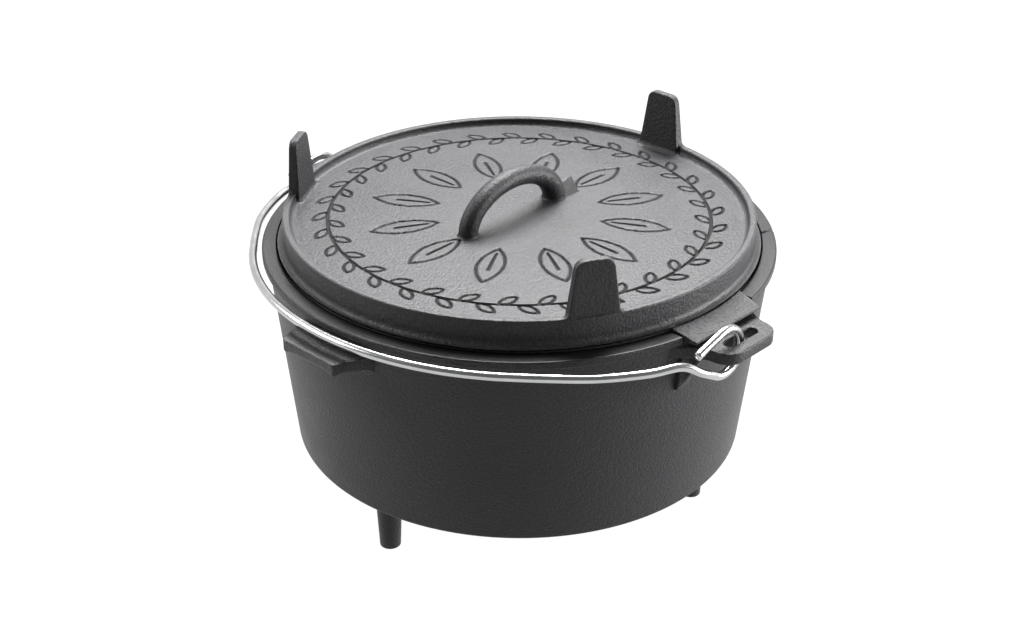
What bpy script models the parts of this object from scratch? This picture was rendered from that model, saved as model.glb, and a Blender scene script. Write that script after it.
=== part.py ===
"""Camp cooking pot of cast iron: a pot on three feet, a lid with three legs, and a wire bail.

Run it with: blender --background --python part.py
Metres, +Z up. The origin is on the pot's axis at the bottom of its feet, and +X runs along the bail's ears.
"""
import bpy
import bmesh
from math import asin, atan2, cos, pi, radians, sin, sqrt, tan
from mathutils import Matrix, Vector

# Driving dimensions of the pot
RIM_RADIUS = 0.1528         # outer edge of the rim's lip
BODY_HEIGHT = 0.1245        # underside to the rim's flat top
FOOT_HEIGHT = 0.0448
WALL = 0.0048
BASE_THICKNESS = 0.0055
WALL_DRAFT = radians(5.8)   # lean of the wall from upright
BASE_CORNER = 0.0018        # outer rounding between base and wall
INNER_CORNER = 0.012        # rounding inside, between floor and wall
RIM_WIDTH = 0.0128          # the flat top that the lid sits on
LIP_HEIGHT = 0.0043
LIP_STEP = 0.0030           # how far the lip stands out from the wall
RIM_EDGE = 0.001
RIM_TAPER = 0.008           # height in which the thick rim runs into the wall

# Feet of the pot
FOOT_INSET = 0.02559        # foot's axis, in from the edge of the base
FOOT_TOP_RADIUS = 0.0084
FOOT_TIP_RADIUS = 0.0063
FOOT_ANGLES = (-90, 30, 150)

# Ears that hold the bail
EAR_REACH = 0.0232          # beyond the rim
EAR_HALF_WIDTH = 0.0228
EAR_THICKNESS = 0.007
EAR_BELOW_RIM = 0.006       # from the rim's top down to the ear's top
EAR_CORNER = 0.0107
EAR_FLARE = 0.0172          # extra half width where the ear meets the wall
EAR_FLARE_PULL = 0.4        # how far along the ear's side the flare stays straight
SLOT_PLAY = 0.0009          # between the wire and each side of the slot
SLOT_LENGTH = 0.0260
SLOT_EDGE = 0.0073          # iron left outside the slot
GUSSET_THICKNESS = 0.0046
GUSSET_OUTSET = 0.0005      # gusset's middle, out from the line of the ear's side
GUSSET_REACH = 0.0075       # out from the wall
GUSSET_DEPTH = 0.0210       # down the wall
GUSSET_EDGE = 0.0023333     # upright part of its outer edge, below the ear

# Side lugs for gripping the pot
LUG_REACH = 0.0142          # beyond the rim
LUG_ROOT_HALF_WIDTH = 0.0305
LUG_TIP_HALF_WIDTH = 0.0210
LUG_THICKNESS = 0.0077
LUG_BELOW_RIM = 0.0123
LUG_CORNER = 0.003
LUG_CORNER_TURN = radians(60)

# Probe groove across the rim
GROOVE_WIDTH = 0.002
GROOVE_DEPTH = 0.002
GROOVE_ANGLE = radians(44.5)
GROOVE_TURN = radians(74)

# Lid
RING_OVERHANG = 0.0         # ring's outside, out from the rim's inner edge
LID_RING_WIDTH = 0.0045
RING_EDGE = 0.0013
LID_HEIGHT = 0.0176         # rim's top to the ring's top
PAN_DEPTH = 0.0051          # ring's top down to the pan
PAN_CROWN = 0.0015          # rise of the pan at its middle
LID_PLATE = 0.005
SKIRT_WALL = 0.0055
FLANGE_STEP = 0.0037        # flange's edge, out from the ring
FLANGE_HEIGHT = 0.0017
LOCATING_RIB = 0.0052       # reach of the lid down inside the rim
CLEARANCE = 0.0003          # between faces that rest on each other
RIB_CLEARANCE = 0.0008      # between the locating rib and the rim

# Ear tabs of the lid, which sit in notches in the rim
TAB_REACH = 0.0172          # beyond the ring
TAB_ROOT_HALF_WIDTH = 0.0305
TAB_TIP_HALF_WIDTH = 0.0284
TAB_ROOT_ABOVE_RIM = 0.0027
TAB_TIP_BELOW_RIM = 0.0014
TAB_TIP_THICKNESS = 0.0016
NOTCH_DEPTH = 0.0053
NOTCH_CLEARANCE = 0.0005

# Legs on the lid
LEG_HEIGHT = 0.0324         # above the ring
LEG_ROOT_WIDTH = 0.031
LEG_TOP_WIDTH = 0.0208
LEG_CORNER = 0.005          # rounding of the top corners
LEG_ROOT_THICKNESS = 0.0075
LEG_TOP_THICKNESS = 0.0048
LEG_SET_BACK = 0.0008       # outer face, in from the ring's edge
LEG_EDGE = 0.001
LEG_ANGLES = (-30, 91, 211)  # two of them sit a degree off even thirds

# Loop handle on the lid
HANDLE_RADIUS = 0.0058
HANDLE_HALF_SPAN = 0.0365
HANDLE_RISE = 0.024         # centre line above the pan
HANDLE_OFFSET = -0.0065
HANDLE_POINTS = 19
STUB_FOOT_WIDTH = 0.0104
STUB_TIP_WIDTH = 0.0030
STUB_FOOT = 0.0169          # reach of its sloping end, from the bar's foot
STUB_TIP = 0.0148           # reach of its upper tip
STUB_SADDLE = 0.0112        # reach of the low place before the tip
STUB_RISE = 0.0091          # tip above the pan
SADDLE_RISE = 0.0076
STUB_EDGE = 0.0006

# Bail
WIRE_RADIUS = 0.0025
HOOK_RADIUS = 0.0146        # centre line of the hook's turn
HOOK_CLOSED_RADIUS = 0.0126 # where the turn has drawn in under the ear
HOOK_START = radians(106)   # turn starts here, from +Y towards +Z
HOOK_END = radians(-117)
HOOK_TIP_RADIUS = 0.0256    # tip of the free leg, from the hinge
HINGE_INSET = 0.0082        # hinge line, in from the ear's side
HINGE_BELOW_EAR = 0.0048    # hinge line, down from the ear's top
LEG_RUN = 0.0155            # straight wire after the hook's turn
LEG_RISE = radians(30)
BOW_GAP = 0.003             # wire's inner side to the rim's lip
BOW_HALF_ANGLE = radians(40)
BOW_RISE = 0.0017           # plane of the bow, above the hinge line
BOW_SLOPE = 0.035
SHOULDER_INSET = 0.005      # bend between leg and bow, in from the slot
SHOULDER_AHEAD = 0.011      # and ahead of the leg's end
BOW_BULGE = 0.075           # of its length, outwards
BULGE_SHAPE = ((0.2, 0.7), (0.48, 1), (0.75, 0.6))  # place along the run, share of the bulge

TURN_STEPS = 96
ROUND_SIDES = 24
UNION_OVERLAP = 0.002       # how deep joined shapes reach into each other

IRON_COLOUR = (0.045, 0.045, 0.047, 1)
IRON_ROUGHNESS = 0.55
WIRE_COLOUR = (0.72, 0.73, 0.74, 1)
WIRE_ROUGHNESS = 0.22

# Places that follow from the driving dimensions
UNDERSIDE = FOOT_HEIGHT
RIM_TOP = FOOT_HEIGHT + BODY_HEIGHT
LIP_BOTTOM = RIM_TOP - LIP_HEIGHT
SEAT_RADIUS = RIM_RADIUS - RIM_WIDTH
LID_RING_RADIUS = SEAT_RADIUS + RING_OVERHANG
SLOT_WIDTH = 2 * (WIRE_RADIUS + SLOT_PLAY)
EAR_TOP = RIM_TOP - EAR_BELOW_RIM
EAR_END = RIM_RADIUS + EAR_REACH
SLOT_X = EAR_END - SLOT_EDGE - SLOT_WIDTH / 2
SEAT = RIM_TOP + CLEARANCE
RING_TOP = RIM_TOP + LID_HEIGHT
PAN = RING_TOP - PAN_DEPTH
PAN_MIDDLE = PAN + PAN_CROWN
HINGE_Y = -(EAR_HALF_WIDTH - HINGE_INSET)
HINGE_Z = EAR_TOP - HINGE_BELOW_EAR


def clear_scene():
    for item in list(bpy.data.objects):
        bpy.data.objects.remove(item, do_unlink=True)


def new_collection(name):
    collection = bpy.data.collections.new(name)
    bpy.context.scene.collection.children.link(collection)
    return collection


def principled(name, colour, roughness, metallic):
    material = bpy.data.materials.new(name)
    material.use_nodes = True
    shader = material.node_tree.nodes["Principled BSDF"]
    shader.inputs["Base Color"].default_value = colour
    shader.inputs["Roughness"].default_value = roughness
    shader.inputs["Metallic"].default_value = metallic
    return material


def add_object(name, data, collection):
    item = bpy.data.objects.new(name, data)
    collection.objects.link(item)
    return item


def tool_object(name, data):
    """A shape that is only joined to or cut from a part."""
    item = add_object(name, data, cutters)
    item.hide_render = True
    item.display_type = "WIRE"
    return item


def welded_mesh(curve_object):
    """The curve as a closed mesh, in the place of the curve object, which is removed."""
    bpy.context.view_layer.update()
    evaluated = curve_object.evaluated_get(bpy.context.evaluated_depsgraph_get())
    mesh = bpy.data.meshes.new_from_object(evaluated)
    mesh.transform(curve_object.matrix_world)
    shape = bmesh.new()
    shape.from_mesh(mesh)
    bmesh.ops.remove_doubles(shape, verts=shape.verts, dist=0.000001)
    bmesh.ops.recalc_face_normals(shape, faces=shape.faces)
    shape.to_mesh(mesh)
    shape.free()
    bpy.data.objects.remove(curve_object, do_unlink=True)
    return mesh


def turned(name, profile, collection):
    """A profile of (radius, height) pairs, turned about Z."""
    mesh = bpy.data.meshes.new(name)
    edges = [(i, i + 1) for i in range(len(profile) - 1)]
    mesh.from_pydata([(r, 0, z) for r, z in profile], edges, [])
    item = add_object(name, mesh, collection)
    screw = item.modifiers.new("turn", "SCREW")
    screw.axis = "Z"
    screw.angle = 2 * pi
    screw.steps = TURN_STEPS
    screw.render_steps = TURN_STEPS
    screw.use_smooth_shade = True
    screw.use_merge_vertices = True
    screw.merge_threshold = 0.00001
    return item


def flat_plate(name, outlines, thickness, matrix):
    """A plate from closed outlines in XY, centred on its mid-plane and then placed by matrix."""
    curve = bpy.data.curves.new(name, "CURVE")
    curve.dimensions = "2D"
    curve.fill_mode = "BOTH"
    curve.extrude = thickness / 2
    for outline in outlines:
        spline = curve.splines.new("POLY")
        spline.points.add(len(outline) - 1)
        spline.use_cyclic_u = True
        for point, (x, y) in zip(spline.points, outline):
            point.co = (x, y, 0, 1)
    flat = add_object(name + "_outline", curve, cutters)
    flat.matrix_world = matrix
    return tool_object(name, welded_mesh(flat))


def tube(name, points, radius, resolution):
    curve = bpy.data.curves.new(name, "CURVE")
    curve.dimensions = "3D"
    curve.bevel_depth = radius
    curve.bevel_resolution = resolution
    curve.use_fill_caps = True
    spline = curve.splines.new("POLY")
    spline.points.add(len(points) - 1)
    for point, place in zip(spline.points, points):
        point.co = (*place, 1)
    return curve


def tapered_block(name, lower, upper):
    """A block between two rectangles, each given as (x0, x1, y0, y1, z at x0, z at x1)."""
    shape = bmesh.new()
    bmesh.ops.create_cube(shape, size=1)
    for vert in shape.verts:
        x0, x1, y0, y1, z0, z1 = upper if vert.co.z > 0 else lower
        right = vert.co.x > 0
        back = vert.co.y > 0
        vert.co = (x1 if right else x0, y1 if back else y0, z1 if right else z0)
    mesh = bpy.data.meshes.new(name)
    shape.to_mesh(mesh)
    shape.free()
    return tool_object(name, mesh)


def cone(name, low_radius, high_radius, height, matrix):
    shape = bmesh.new()
    bmesh.ops.create_cone(shape, cap_ends=True, segments=ROUND_SIDES, radius1=low_radius,
                          radius2=high_radius, depth=height, matrix=matrix)
    mesh = bpy.data.meshes.new(name)
    shape.to_mesh(mesh)
    shape.free()
    return tool_object(name, mesh)


def boolean(target, tool, operation):
    modifier = target.modifiers.new(operation.lower() + "_" + tool.name, "BOOLEAN")
    modifier.operation = operation
    modifier.object = tool


def arc(centre, radius, start, end, steps):
    """Points on a circle's arc, both ends included; angles in radians."""
    cx, cy = centre
    turns = [start + (end - start) * i / steps for i in range(steps + 1)]
    return [(cx + radius * cos(a), cy + radius * sin(a)) for a in turns]


def bezier(start, middle, end, steps):
    """A quadratic curve from start to end, drawn towards middle; both ends included."""
    points = []
    for i in range(steps + 1):
        t = i / steps
        points.append(tuple(a * (1 - t) ** 2 + 2 * b * t * (1 - t) + c * t * t
                            for a, b, c in zip(start, middle, end)))
    return points


def smooth_through(points, steps):
    """Points on a Catmull-Rom curve through the given ones, which it includes."""
    ends = [2 * points[0] - points[1]] + list(points) + [2 * points[-1] - points[-2]]
    curve = []
    for a, b, c, d in zip(ends, ends[1:], ends[2:], ends[3:]):
        for i in range(steps):
            t = i / steps
            curve.append(b + (c - a) * t / 2 + (a - 2.5 * b + 2 * c - 0.5 * d) * t * t
                         + (1.5 * (b - c) + 0.5 * (d - a)) * t ** 3)
    return curve + [points[-1]]


def wall_radius(height):
    """Outer radius of the pot's wall at a height."""
    return RIM_RADIUS - LIP_STEP - tan(WALL_DRAFT) * (LIP_BOTTOM - height)


def pot_body():
    floor = UNDERSIDE + BASE_THICKNESS
    taper_top = LIP_BOTTOM - LIP_STEP - RIM_EDGE
    taper_bottom = taper_top - RIM_TAPER
    lean = WALL_DRAFT
    inner_centre = (wall_radius(floor + INNER_CORNER) - WALL - INNER_CORNER, floor + INNER_CORNER)
    outer_centre = (wall_radius(UNDERSIDE + BASE_CORNER) - BASE_CORNER, UNDERSIDE + BASE_CORNER)
    profile = [(0, floor)]
    profile += arc(inner_centre, INNER_CORNER, -pi / 2, -lean, 4)
    profile += [
        (wall_radius(taper_bottom) - WALL, taper_bottom),
        (SEAT_RADIUS, taper_top),
        (SEAT_RADIUS, RIM_TOP),
        (RIM_RADIUS - RIM_EDGE, RIM_TOP),
        (RIM_RADIUS, RIM_TOP - RIM_EDGE),
        (RIM_RADIUS, LIP_BOTTOM),
        (wall_radius(LIP_BOTTOM - LIP_STEP / 2), LIP_BOTTOM - LIP_STEP / 2),
    ]
    profile += arc(outer_centre, BASE_CORNER, -lean, -pi / 2, 3)
    profile.append((0, UNDERSIDE))
    return turned("pot", profile, parts)


def add_ears(pot):
    """Two plates with a long slot, one at each end of X, each carried by two gussets."""
    wall = wall_radius(EAR_TOP - EAR_THICKNESS)
    hold = wall - UNION_OVERLAP
    flare_y = EAR_HALF_WIDTH + EAR_FLARE
    flare_x = sqrt(hold ** 2 - flare_y ** 2)
    corner_x = EAR_END - EAR_CORNER
    side = bezier((corner_x, EAR_HALF_WIDTH), (corner_x - EAR_FLARE_PULL * (corner_x - flare_x), EAR_HALF_WIDTH),
                  (flare_x, flare_y), 6)
    half = arc((corner_x, EAR_HALF_WIDTH - EAR_CORNER), EAR_CORNER, 0, pi / 2, 4) + side[1:]
    span = asin(flare_y / hold)
    back = arc((0, 0), hold, span, -span, 12)[1:-1]
    outline = half + back + [(x, -y) for x, y in reversed(half)]
    straight = (SLOT_LENGTH - SLOT_WIDTH) / 2
    slot = arc((SLOT_X, straight), SLOT_WIDTH / 2, 0, pi, 6)
    slot += arc((SLOT_X, -straight), SLOT_WIDTH / 2, pi, 2 * pi, 6)
    gusset_top = EAR_TOP - EAR_THICKNESS / 2
    gusset_low = EAR_TOP - EAR_THICKNESS - GUSSET_DEPTH
    inner = wall_radius(gusset_low) - WALL / 2
    gusset = [(inner, gusset_low), (inner + WALL / 2, gusset_low),
              (wall + GUSSET_REACH, EAR_TOP - EAR_THICKNESS - GUSSET_EDGE),
              (wall + GUSSET_REACH, gusset_top), (inner, gusset_top)]
    for end, turn in (("right", 0), ("left", pi)):
        place = Matrix.Rotation(turn, 4, "Z")
        lift = Matrix.Translation((0, 0, EAR_TOP - EAR_THICKNESS / 2))
        boolean(pot, flat_plate("ear_" + end, [outline, slot], EAR_THICKNESS, place @ lift), "UNION")
        for side_name, across in (("front", -1), ("back", 1)):
            middle = across * (EAR_HALF_WIDTH + GUSSET_OUTSET)
            upright = Matrix.Translation((0, middle, 0)) @ Matrix.Rotation(pi / 2, 4, "X")
            name = "gusset_" + end + "_" + side_name
            boolean(pot, flat_plate(name, [gusset], GUSSET_THICKNESS, place @ upright), "UNION")


def add_lugs(pot):
    """A plain tapered lug at each end of Y, for a cloth or a lifting hook."""
    top = RIM_TOP - LUG_BELOW_RIM
    hold = wall_radius(top - LUG_THICKNESS) - UNION_OVERLAP
    end = RIM_RADIUS + LUG_REACH
    corner = (end - LUG_CORNER, LUG_TIP_HALF_WIDTH - LUG_CORNER)
    root_x = sqrt(hold ** 2 - LUG_ROOT_HALF_WIDTH ** 2)
    half = arc(corner, LUG_CORNER, 0, LUG_CORNER_TURN, 3) + [(root_x, LUG_ROOT_HALF_WIDTH)]
    span = asin(LUG_ROOT_HALF_WIDTH / hold)
    back = arc((0, 0), hold, span, -span, 10)[1:-1]
    outline = half + back + [(x, -y) for x, y in reversed(half)]
    for name, turn in (("lug_front", -pi / 2), ("lug_back", pi / 2)):
        place = Matrix.Rotation(turn, 4, "Z") @ Matrix.Translation((0, 0, top - LUG_THICKNESS / 2))
        boolean(pot, flat_plate(name, [outline], LUG_THICKNESS, place), "UNION")


def add_feet(pot):
    height = FOOT_HEIGHT + UNION_OVERLAP
    circle = wall_radius(UNDERSIDE) - FOOT_INSET
    for number, angle in enumerate(FOOT_ANGLES, 1):
        place = Matrix.Rotation(radians(angle), 4, "Z") @ Matrix.Translation((circle, 0, height / 2))
        boolean(pot, cone("foot_%d" % number, FOOT_TIP_RADIUS, FOOT_TOP_RADIUS, height, place), "UNION")


def cut_rim(pot):
    """Two notches that key the lid, and the probe groove across the rim's flat top."""
    half = TAB_ROOT_HALF_WIDTH + NOTCH_CLEARANCE
    low, high = RIM_TOP - NOTCH_DEPTH, RIM_TOP + NOTCH_DEPTH
    near, far = SEAT_RADIUS - RIM_WIDTH, RIM_RADIUS + RIM_EDGE
    for name, x0, x1 in (("notch_right", near, far), ("notch_left", -far, -near)):
        notch = tapered_block(name, (x0, x1, -half, half, low, low), (x0, x1, -half, half, high, high))
        boolean(pot, notch, "DIFFERENCE")
    long, wide = 2 * RIM_WIDTH, GROOVE_WIDTH / 2
    groove = tapered_block("groove", (-long, long, -wide, wide, -GROOVE_DEPTH, -GROOVE_DEPTH),
                           (-long, long, -wide, wide, GROOVE_DEPTH, GROOVE_DEPTH))
    middle = RIM_RADIUS - RIM_WIDTH / 2
    groove.matrix_world = (Matrix.Translation((middle * cos(GROOVE_ANGLE), middle * sin(GROOVE_ANGLE), RIM_TOP))
                           @ Matrix.Rotation(GROOVE_TURN, 4, "Z"))
    boolean(pot, groove, "DIFFERENCE")


def lid_body():
    """The pan with its ring, the skirt with its flange, and the rib that drops inside the rim."""
    ring_in = LID_RING_RADIUS - LID_RING_WIDTH
    flange = LID_RING_RADIUS + FLANGE_STEP
    flange_top = SEAT + FLANGE_HEIGHT
    rib_out = SEAT_RADIUS - RIB_CLEARANCE
    rib_in = LID_RING_RADIUS - SKIRT_WALL
    rib_low = RIM_TOP - LOCATING_RIB
    under = PAN - LID_PLATE
    profile = [(0, PAN_MIDDLE), (ring_in / 2, PAN + PAN_CROWN * (1 - 0.5 ** 2)), (ring_in - PAN_DEPTH, PAN)]
    profile += bezier((ring_in - PAN_DEPTH / 2, PAN), (ring_in, PAN), (ring_in, RING_TOP - PAN_DEPTH / 2), 3)
    profile += arc((ring_in + RING_EDGE, RING_TOP - RING_EDGE), RING_EDGE, pi, pi / 2, 3)
    profile += arc((LID_RING_RADIUS - RING_EDGE, RING_TOP - RING_EDGE), RING_EDGE, pi / 2, 0, 3)
    profile += bezier((LID_RING_RADIUS, flange_top + FLANGE_STEP), (LID_RING_RADIUS, flange_top),
                      (flange, flange_top), 3)
    profile += [(flange, SEAT), (rib_out, SEAT), (rib_out, rib_low), (rib_in, rib_low),
                (rib_in, under - LID_PLATE / 2), (rib_in - LID_PLATE, under), (0, PAN_MIDDLE - LID_PLATE)]
    return turned("lid", profile, parts)


def add_tabs(lid):
    """A wedge at each end of X, which covers the ear's root and keys into the rim."""
    inner = LID_RING_RADIUS - SKIRT_WALL / 2
    outer = LID_RING_RADIUS + TAB_REACH
    root_low = RIM_TOP - NOTCH_DEPTH + CLEARANCE
    tip_top = RIM_TOP - TAB_TIP_BELOW_RIM
    tip_low = tip_top - TAB_TIP_THICKNESS
    root, tip = TAB_ROOT_HALF_WIDTH, TAB_TIP_HALF_WIDTH
    for name, turn in (("tab_right", 0), ("tab_left", pi)):
        shape = tapered_block(name, (inner, outer, -tip, tip, root_low, tip_low),
                              (inner, outer, -tip, tip, RIM_TOP + TAB_ROOT_ABOVE_RIM, tip_top))
        for vert in shape.data.vertices:
            if vert.co.x < (inner + outer) / 2:
                vert.co.y *= root / tip
        shape.matrix_world = Matrix.Rotation(turn, 4, "Z")
        boolean(lid, shape, "UNION")


def lid_leg(name):
    """A tapered plate that stands on edge at +X, with rounded top corners."""
    face = LID_RING_RADIUS - LEG_SET_BACK
    low, top = PAN - UNION_OVERLAP, RING_TOP + LEG_HEIGHT
    wide, slim = LEG_ROOT_WIDTH / 2, LEG_TOP_WIDTH / 2
    lean = atan2(wide - slim, top - low)
    corner = (slim - LEG_CORNER * (1 + sin(lean)) / cos(lean) + LEG_CORNER * tan(lean), top - LEG_CORNER)
    half = [(wide, low)] + arc(corner, LEG_CORNER, lean, pi / 2, 5)
    outline = half + [(-y, z) for y, z in reversed(half)]
    upright = Matrix(((0, 0, 1, -0.5), (1, 0, 0, 0), (0, 1, 0, 0), (0, 0, 0, 1)))
    leg = flat_plate(name, [outline], 1, upright)
    for vert in leg.data.vertices:
        share = (vert.co.z - low) / (top - low)
        thickness = LEG_ROOT_THICKNESS + (LEG_TOP_THICKNESS - LEG_ROOT_THICKNESS) * share
        vert.co.x = face - LEG_SET_BACK * share + vert.co.x * thickness
    bevel = leg.modifiers.new("edge", "BEVEL")
    bevel.width = LEG_EDGE
    bevel.segments = 2
    bevel.angle_limit = radians(40)
    return leg


def add_lid_legs(lid):
    for number, angle in enumerate(LEG_ANGLES, 1):
        leg = lid_leg("lid_leg_%d" % number)
        leg.matrix_world = Matrix.Rotation(radians(angle), 4, "Z")
        boolean(lid, leg, "UNION")


def add_handle(lid):
    """A round bar bent into an arch across the middle, with a short ridged stub at its back foot."""
    low = PAN_MIDDLE - UNION_OVERLAP
    points = []
    for i in range(HANDLE_POINTS):
        turn = pi * i / (HANDLE_POINTS - 1)
        points.append((0, HANDLE_OFFSET - HANDLE_HALF_SPAN * cos(turn), PAN_MIDDLE + HANDLE_RISE * sin(turn)))
    foot_y = HANDLE_OFFSET + HANDLE_HALF_SPAN
    points = [(0, points[0][1], low)] + points + [(0, points[-1][1], low)]
    curve = add_object("handle_line", tube("handle_line", points, HANDLE_RADIUS, 4), cutters)
    boolean(lid, tool_object("handle", welded_mesh(curve)), "UNION")
    outline = [(foot_y, low), (foot_y + STUB_FOOT, low), (foot_y + STUB_TIP, PAN_MIDDLE + STUB_RISE),
               (foot_y + STUB_SADDLE, PAN_MIDDLE + SADDLE_RISE), (foot_y, PAN_MIDDLE + SADDLE_RISE)]
    upright = Matrix(((0, 0, 1, 0), (1, 0, 0, 0), (0, 1, 0, 0), (0, 0, 0, 1)))
    stub = flat_plate("handle_stub", [outline], 1, upright)
    for vert in stub.data.vertices:
        share = (vert.co.z - low) / (PAN_MIDDLE + STUB_RISE - low)
        vert.co.x *= STUB_FOOT_WIDTH + (STUB_TIP_WIDTH - STUB_FOOT_WIDTH) * share
    bevel = stub.modifiers.new("edge", "BEVEL")
    bevel.width = STUB_EDGE
    bevel.segments = 2
    bevel.angle_limit = radians(40)
    boolean(lid, stub, "UNION")


def bail_half():
    """Centre line of the bail's right half, from the hook's tip to the middle of the bow."""
    def hook(angle, radius):
        return Vector((SLOT_X, HINGE_Y + radius * cos(angle), HINGE_Z + radius * sin(angle)))

    def bow(x, y):
        return Vector((x, y, HINGE_Z + BOW_RISE - BOW_SLOPE * (y - HINGE_Y)))

    free = sqrt(HOOK_TIP_RADIUS ** 2 - HOOK_RADIUS ** 2)
    tip = hook(HOOK_START, HOOK_RADIUS) + free * Vector((0, -sin(HOOK_START), cos(HOOK_START)))
    steps = 15
    turn = []
    for i in range(steps + 1):
        angle = HOOK_START + (HOOK_END - HOOK_START) * i / steps
        drawn = min(max(angle / HOOK_END, 0), 1)
        drawn = drawn * drawn * (3 - 2 * drawn)
        turn.append(hook(angle, HOOK_RADIUS + (HOOK_CLOSED_RADIUS - HOOK_RADIUS) * drawn))
    leg = turn[-1] + LEG_RUN * Vector((0, -cos(LEG_RISE), sin(LEG_RISE)))
    radius = RIM_RADIUS + BOW_GAP + WIRE_RADIUS
    bow_arc = arc((0, 0), radius, BOW_HALF_ANGLE - pi / 2, -pi / 2, 9)
    start = bow(*bow_arc[0])
    shoulder = bow(SLOT_X - SHOULDER_INSET, leg.y - SHOULDER_AHEAD)
    reach = start - shoulder
    bulge = Vector((-reach.y, reach.x, 0)) * BOW_BULGE
    run = [leg, shoulder] + [shoulder + reach * along + bulge * out for along, out in BULGE_SHAPE] + [start]
    line = smooth_through([turn[-1]] + run, 4)
    return [tip] + turn[:-1] + line + [bow(*place) for place in bow_arc[1:]]


def build_bail():
    """One length of plated wire, hooked through both ears; its origin is on the hinge line."""
    half = bail_half()
    hinge = Vector((0, HINGE_Y, HINGE_Z))
    points = half + [Vector((-p.x, p.y, p.z)) for p in reversed(half[:-1])]
    line = add_object("bail_line", tube("bail_line", [p - hinge for p in points], WIRE_RADIUS, 2), cutters)
    bail = add_object("bail", welded_mesh(line), parts)
    bail.location = hinge
    return bail


clear_scene()
parts = new_collection("camp_pot")
cutters = new_collection("cutters")
cutters.hide_render = True

iron = principled("seasoned cast iron", IRON_COLOUR, IRON_ROUGHNESS, 0.3)
lid_iron = principled("seasoned cast iron, lid", IRON_COLOUR, IRON_ROUGHNESS, 0.3)
plated_wire = principled("plated steel wire", WIRE_COLOUR, WIRE_ROUGHNESS, 1)

pot = pot_body()
add_ears(pot)
add_lugs(pot)
add_feet(pot)
cut_rim(pot)

lid = lid_body()
add_tabs(lid)
add_lid_legs(lid)
add_handle(lid)

bail = build_bail()

pot.data.materials.append(iron)
lid.data.materials.append(lid_iron)
bail.data.materials.append(plated_wire)
bail.data.shade_smooth()
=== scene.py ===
"""Camp cooking pot of cast iron, with its lid and its wire bail, in a plain studio.

Metres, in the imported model's own frame: the feet stand on z = 0, the pot's axis is x = y = 0, the bail's
ears lie along X and the grip lugs along Y.
"""

import bmesh
import bpy
import numpy as np
from mathutils import Matrix


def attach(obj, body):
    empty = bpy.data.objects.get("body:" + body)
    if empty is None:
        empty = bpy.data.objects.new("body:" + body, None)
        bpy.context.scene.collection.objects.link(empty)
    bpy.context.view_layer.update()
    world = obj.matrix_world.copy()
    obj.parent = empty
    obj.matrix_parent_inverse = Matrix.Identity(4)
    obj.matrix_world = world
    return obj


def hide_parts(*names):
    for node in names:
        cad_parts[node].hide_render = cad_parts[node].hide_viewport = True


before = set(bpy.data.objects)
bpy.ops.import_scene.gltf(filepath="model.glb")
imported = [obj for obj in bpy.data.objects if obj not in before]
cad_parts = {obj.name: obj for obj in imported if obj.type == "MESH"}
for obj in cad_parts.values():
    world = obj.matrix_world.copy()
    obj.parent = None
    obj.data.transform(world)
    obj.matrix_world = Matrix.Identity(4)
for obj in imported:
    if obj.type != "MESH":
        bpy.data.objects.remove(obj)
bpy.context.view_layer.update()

# The camera stands a metre off, between the right ear and the front lug, and looks down by 29 degrees.
# Its place, lens and slight roll are the ones that the ellipses of the rim, the lid and the base gave.
IMAGE_WIDTH, IMAGE_HEIGHT = 1024, 640
SENSOR_WIDTH = 36
FOCAL_PIXELS = 1723.6
OPTICAL_CENTRE = (518.75, 323.72)
AZIMUTH, ELEVATION, ROLL = np.radians((-46.8, 29.295, 0.361))
DISTANCE = 1.0613
TARGET = np.array((0, 0, 0.10705))
NEAREST_SEEN = 0.01


def stand_at(axes, place):
    """The matrix that turns a camera or a lamp to three axes and sets it at a place."""
    rows = [[*across, at] for across, at in zip(np.transpose(axes), place)]
    return Matrix(rows + [[0, 0, 0, 1]])


backward = np.array((np.cos(ELEVATION) * np.cos(AZIMUTH), np.cos(ELEVATION) * np.sin(AZIMUTH),
                     np.sin(ELEVATION)))
level = np.array((-np.sin(AZIMUTH), np.cos(AZIMUTH), 0))
upward = np.cross(backward, level)
image_right = level * np.cos(ROLL) + upward * np.sin(ROLL)
image_up = upward * np.cos(ROLL) - level * np.sin(ROLL)
lens = bpy.data.cameras.new("camera")
lens.sensor_width = SENSOR_WIDTH
lens.lens = FOCAL_PIXELS / IMAGE_WIDTH * SENSOR_WIDTH
lens.shift_x = (IMAGE_WIDTH / 2 - OPTICAL_CENTRE[0]) / IMAGE_WIDTH
lens.shift_y = (OPTICAL_CENTRE[1] - IMAGE_HEIGHT / 2) / IMAGE_WIDTH
lens.clip_start = NEAREST_SEEN
camera = bpy.data.objects.new("camera", lens)
camera.matrix_world = stand_at((image_right, image_up, backward), TARGET + backward * DISTANCE)
bpy.context.scene.collection.objects.link(camera)
bpy.context.scene.camera = camera
bpy.context.scene.view_settings.view_transform = "Standard"


# The studio is a white table and a white room that is dimmer on the camera's side. One large lamp hangs
# behind the pot, 60 degrees up. Two weaker ones, one at each side, light the edges of the wall.
FLOOR_REACH = 6
FLOOR_BELOW = 0.0001
FLOOR_LIT, FLOOR_OWN = 0.05, 0.99
ROOM_FILL = 0.30
ROOM_DARK = 0.20
DARK_FROM, DARK_TO = -0.35, 0.75


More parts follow.
